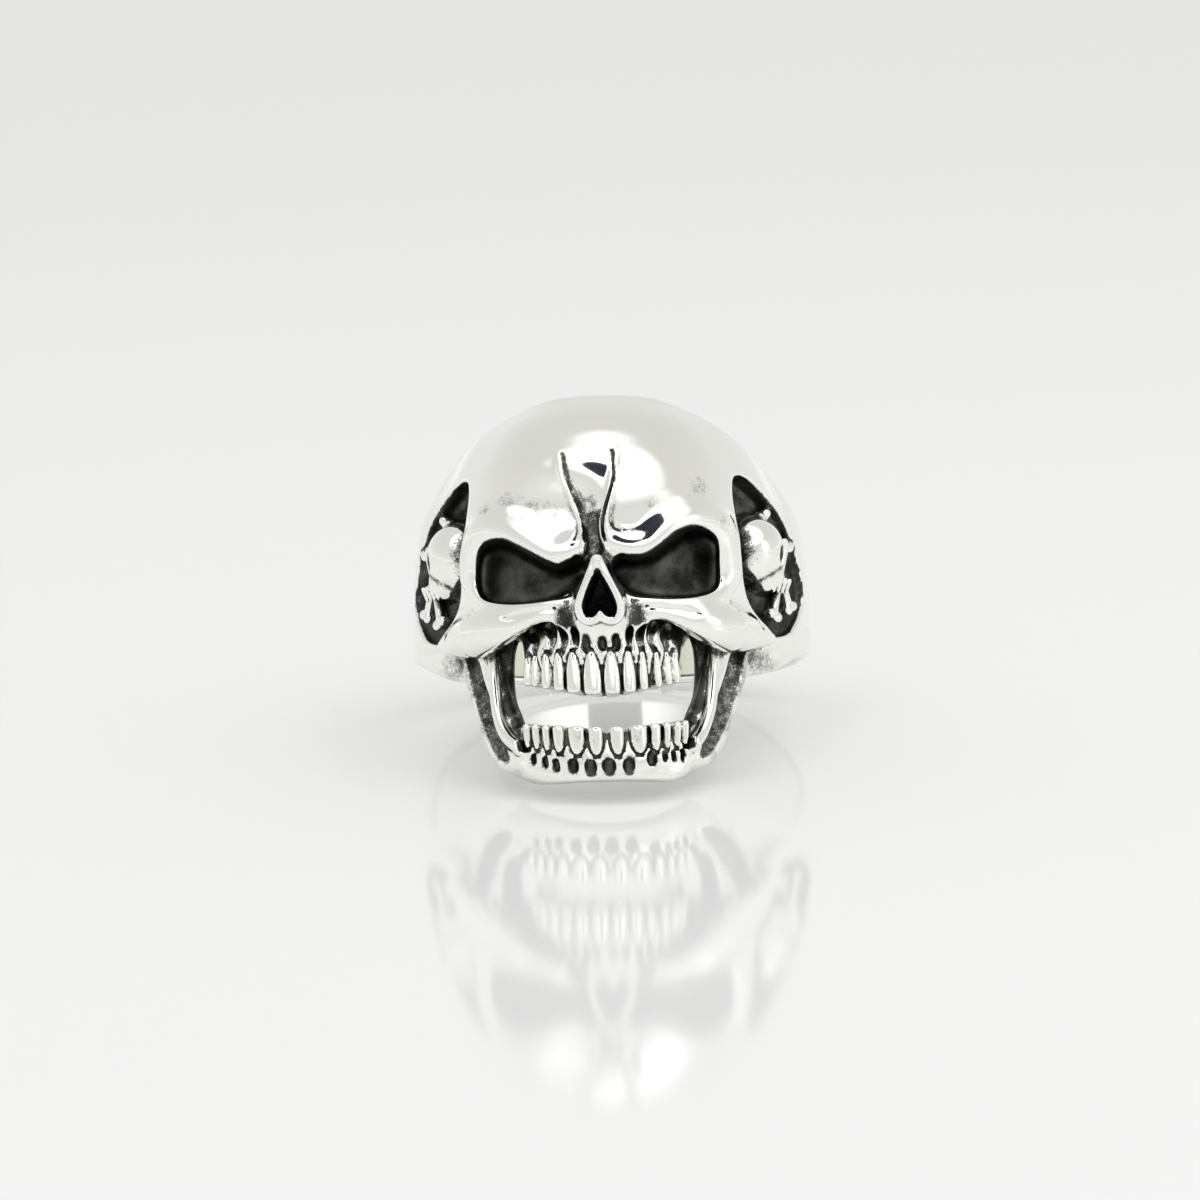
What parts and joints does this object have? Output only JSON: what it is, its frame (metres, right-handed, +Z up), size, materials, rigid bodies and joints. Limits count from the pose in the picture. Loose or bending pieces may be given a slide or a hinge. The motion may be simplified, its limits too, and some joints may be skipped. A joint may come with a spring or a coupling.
{
  "type": "skull ring",
  "caption": "Silver finger ring whose front is an angry open-jawed skull, with a skull and crossed bones in relief in a dark oval recess on each shoulder.",
  "frame": {"origin": "on the ground, under the middle of the resting ring's box", "axes": "+Z up, the skull's face towards -Y, leaned back as the ring rests on its chin and the back of its band"},
  "size_m": [0.0226, 0.03, 0.0205],
  "materials": {
    "silver": "cast metal taken for sterling silver from its look, mirror polished on what stands out and blackened in its sockets, grooves and recesses"
  },
  "bodies": {
    "root": {"skull_ring": "silver"}
  },
  "joints": []
}
